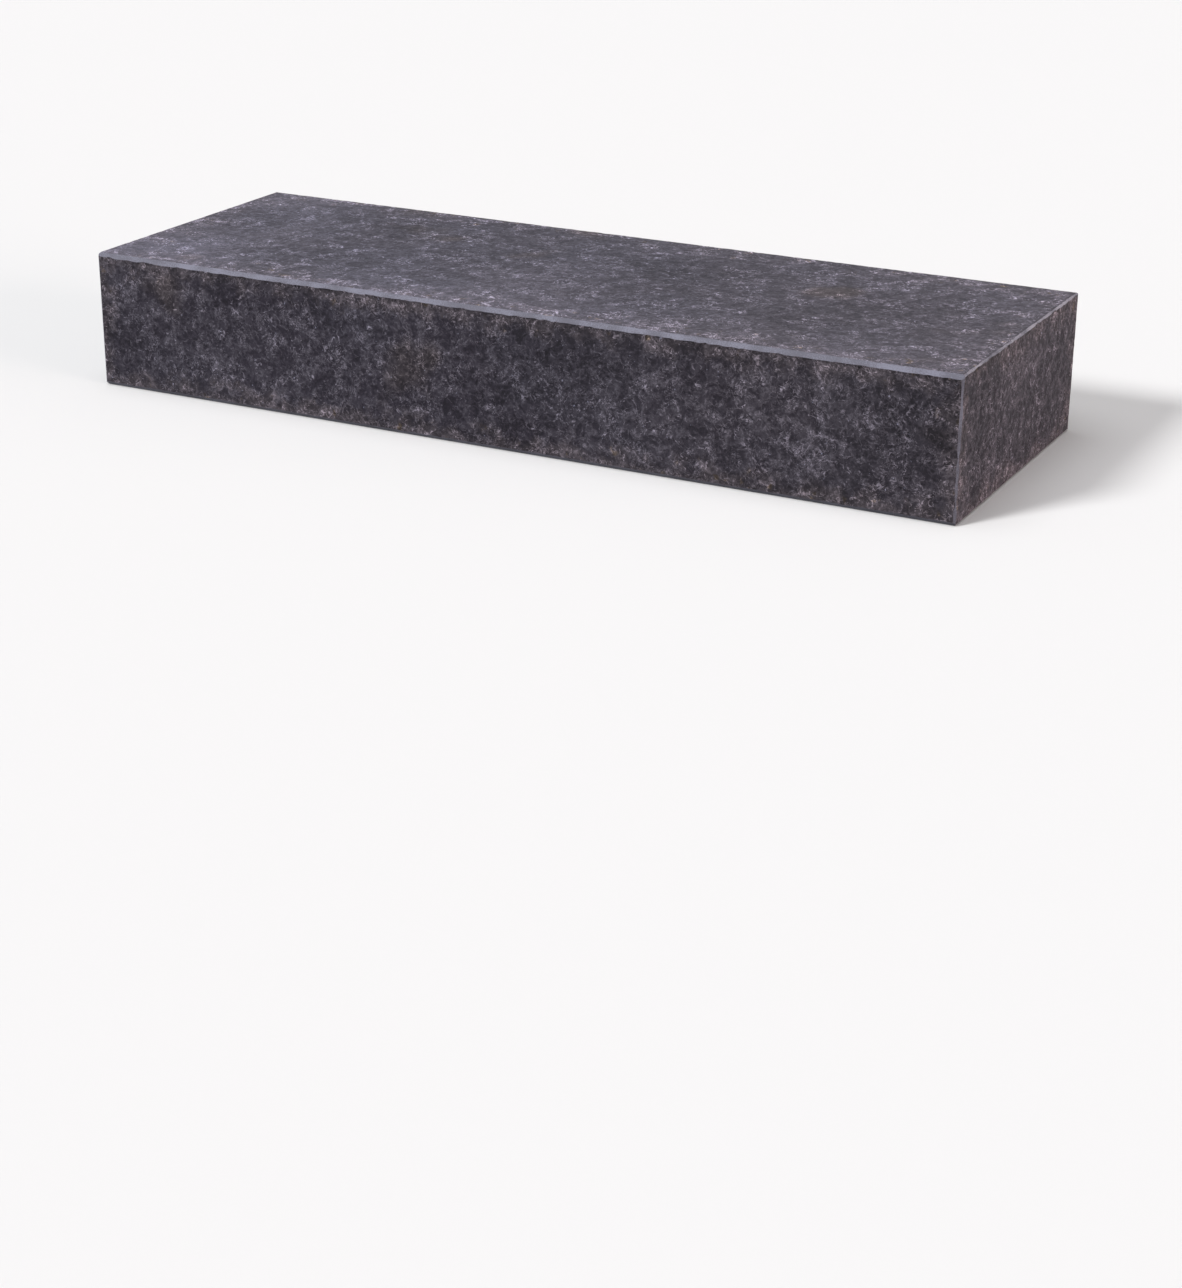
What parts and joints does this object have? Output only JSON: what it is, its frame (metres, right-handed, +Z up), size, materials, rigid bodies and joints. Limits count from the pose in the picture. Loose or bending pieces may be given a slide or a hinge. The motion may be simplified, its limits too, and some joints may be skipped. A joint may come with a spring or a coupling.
{
  "type": "basalt block step",
  "caption": "Solid basalt block step: a sawn stone slab that is riser and tread in one, with flamed faces and bevelled arrises.",
  "frame": {"origin": "middle of the underside, on the level floor that the stone stands on", "axes": "+X along the riser, +Y from the riser to the back, +Z up from the underside to the tread"},
  "size_m": [1, 0.35, 0.15],
  "materials": {
    "basalt": "flamed and brushed on the tread, riser and ends, ground on the bevels, sawn on the back and underside"
  },
  "bodies": {
    "root": {"block_step": "basalt"}
  },
  "joints": []
}
